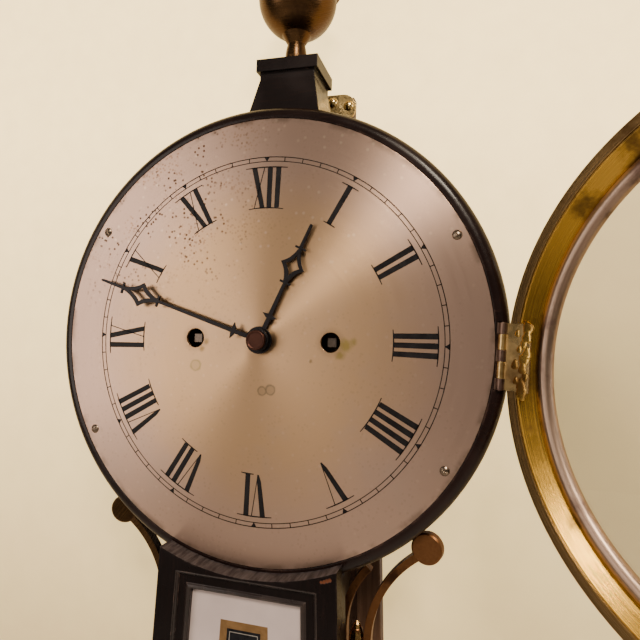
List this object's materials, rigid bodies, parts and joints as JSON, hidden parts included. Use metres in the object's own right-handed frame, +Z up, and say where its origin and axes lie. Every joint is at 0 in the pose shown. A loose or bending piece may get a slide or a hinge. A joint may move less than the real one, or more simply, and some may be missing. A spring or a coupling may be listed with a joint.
{
  "type": "banjo clock",
  "caption": "Wall banjo clock: round silvered dial with an open hinged bezel, tapering throat, pendulum box, urn finial, side arms and a striking movement.",
  "frame": {"origin": "centre of the hanging hole in the brass hanger plate, at the middle of the plate's thickness", "axes": "+Z up, +Y from the dial back to the wall, +X to the right as the dial is read"},
  "size_m": [0.4067, 0.1944, 0.8316],
  "materials": {
    "ebonized_wood": "polished, near-black stained mahogany",
    "back_wood": "plain dark stained board",
    "silvered_brass": "silvered brass, circular brushing",
    "aged_brass": "tarnished brass",
    "patinated_bronze": "dark brown patina",
    "bright_brass": "polished brass",
    "movement_brass": "grained brass",
    "steel": "turned steel",
    "blackened_steel": "black oxide",
    "hand_nut_copper": "coppery brown",
    "gong_iron": "black cast iron",
    "clear_glass": "clear",
    "painted_glass": "glass painted on its back"
  },
  "bodies": {
    "case": {"head_back": "back_wood", "head_hoop": "ebonized_wood", "head_rim": "ebonized_wood", "dial": "silvered_brass", "dial_screws": "aged_brass", "plinth": "ebonized_wood", "finial": "patinated_bronze", "hanger_plate": "bright_brass", "hanger_screws": "bright_brass", "throat_back": "back_wood", "throat_side_left": "ebonized_wood", "throat_side_right": "ebonized_wood", "throat_frame": "ebonized_wood", "throat_glass": "painted_glass", "box_back": "back_wood", "box_side_left": "ebonized_wood", "box_side_right": "ebonized_wood", "box_top": "ebonized_wood", "box_bottom": "ebonized_wood", "side_arm_left": "patinated_bronze", "side_arm_right": "patinated_bronze", "arm_screws": "bright_brass", "rim_hinge_leaf": "aged_brass", "rim_hinge_pin": "aged_brass", "box_hinge_leaves": "aged_brass", "front_plate": "movement_brass", "rear_plate": "movement_brass", "pillars": "movement_brass", "suspension_cock": "movement_brass", "gong_coil": "steel", "gong_block": "gong_iron"},
    "bezel": {"bezel_ring": "aged_brass", "bezel_glass": "clear_glass", "bezel_retainer": "patinated_bronze", "bezel_hinge_leaf": "aged_brass"},
    "box_door": {"door_frame": "ebonized_wood", "door_glass": "painted_glass", "door_hinge_leaves": "aged_brass"},
    "latch": {"door_latch": "bright_brass"},
    "minute_arbor": {"centre_wheel": "movement_brass", "cannon_pinion": "movement_brass", "minute_hand": "blackened_steel", "hand_washers": "blackened_steel", "hand_nut": "hand_nut_copper"},
    "hour_pipe": {"hour_wheel": "movement_brass", "hour_hand": "blackened_steel"},
    "minute_wheel_arbor": {"minute_wheel": "movement_brass"},
    "going_great": {"going_barrel": "movement_brass"},
    "going_key_arbor": {"going_winding_arbor": "steel"},
    "third_arbor": {"third_wheel": "movement_brass"},
    "escape_arbor": {"escape_wheel": "movement_brass"},
    "anchor_arbor": {"anchor": "steel"},
    "pendulum": {"suspension_spring": "steel", "pendulum_rod": "steel", "pendulum_bob": "bright_brass", "rating_nut": "bright_brass"},
    "strike_great": {"strike_barrel": "movement_brass"},
    "strike_key_arbor": {"strike_winding_arbor": "steel"},
    "pin_arbor": {"pin_wheel": "movement_brass"},
    "hammer_arbor": {"hammer": "steel"}
  },
  "joints": [
    {"name": "bezel_hinge", "type": "hinge", "parent": "case", "child": "bezel", "pos_m": [0.1042, -0.0586, -0.1285], "axis": [0.0311, 0, 0.9995], "range_deg": [-141.3, 8]},
    {"name": "box_door_hinge", "type": "hinge", "parent": "case", "child": "box_door", "pos_m": [0.1298, -0.05485, -0.638], "axis": [0, 0, 1], "range_deg": [0, 150]},
    {"name": "latch_turn", "type": "hinge", "parent": "box_door", "child": "latch", "pos_m": [-0.116, -0.0586, -0.638], "axis": [0, 1, 0], "range_deg": [0, 90]},
    {"name": "minute_hand_turn", "type": "hinge", "parent": "case", "child": "minute_arbor", "pos_m": [0, -0.0386, -0.1285], "axis": [0, 1, 0], "continuous": true},
    {"name": "hour_hand_turn", "type": "hinge", "parent": "case", "child": "hour_pipe", "pos_m": [0, -0.0386, -0.1285], "axis": [0, 1, 0], "continuous": true},
    {"name": "minute_wheel_turn", "type": "hinge", "parent": "case", "child": "minute_wheel_arbor", "pos_m": [0, -0.0386, -0.1405], "axis": [0, 1, 0], "continuous": true},
    {"name": "going_barrel_turn", "type": "hinge", "parent": "case", "child": "going_great", "pos_m": [0.0328, -0.0386, -0.1285], "axis": [0, 1, 0], "continuous": true},
    {"name": "third_wheel_turn", "type": "hinge", "parent": "case", "child": "third_arbor", "pos_m": [0, -0.0386, -0.1065], "axis": [0, 1, 0], "continuous": true},
    {"name": "escape_wheel_turn", "type": "hinge", "parent": "case", "child": "escape_arbor", "pos_m": [0, -0.0386, -0.0895], "axis": [0, 1, 0], "continuous": true},
    {"name": "going_winding_turn", "type": "hinge", "parent": "case", "child": "going_key_arbor", "pos_m": [0.0328, -0.0386, -0.1285], "axis": [0, 1, 0], "continuous": true},
    {"name": "strike_barrel_turn", "type": "hinge", "parent": "case", "child": "strike_great", "pos_m": [-0.0328, -0.0386, -0.1285], "axis": [0, 1, 0], "continuous": true},
    {"name": "pin_wheel_turn", "type": "hinge", "parent": "case", "child": "pin_arbor", "pos_m": [-0.0385, -0.0386, -0.0962], "axis": [0, 1, 0], "continuous": true},
    {"name": "strike_winding_turn", "type": "hinge", "parent": "case", "child": "strike_key_arbor", "pos_m": [-0.0328, -0.0386, -0.1285], "axis": [0, 1, 0], "continuous": true},
    {"name": "hammer_lift", "type": "hinge", "parent": "case", "child": "hammer_arbor", "pos_m": [-0.063, -0.0386, -0.1425], "axis": [0, 1, 0], "range_deg": [0, 18]},
    {"name": "pendulum_swing", "type": "hinge", "parent": "case", "child": "pendulum", "pos_m": [0, -0.0386, -0.0697], "axis": [0, 1, 0], "range_deg": [-3, 3]},
    {"name": "anchor_rock", "type": "hinge", "parent": "case", "child": "anchor_arbor", "pos_m": [0, -0.0386, -0.0697], "axis": [0, 1, 0], "range_deg": [-3, 3]}
  ],
  "couplings": [
    {"joint": "hour_hand_turn", "follows": "minute_hand_turn", "ratio": 0.083333},
    {"joint": "minute_wheel_turn", "follows": "minute_hand_turn", "ratio": -0.33333},
    {"joint": "going_barrel_turn", "follows": "minute_hand_turn", "ratio": -0.083333},
    {"joint": "third_wheel_turn", "follows": "minute_hand_turn", "ratio": -10},
    {"joint": "escape_wheel_turn", "follows": "minute_hand_turn", "ratio": 75},
    {"joint": "pin_wheel_turn", "follows": "strike_barrel_turn", "ratio": -12},
    {"joint": "anchor_rock", "follows": "pendulum_swing", "ratio": 1}
  ]
}
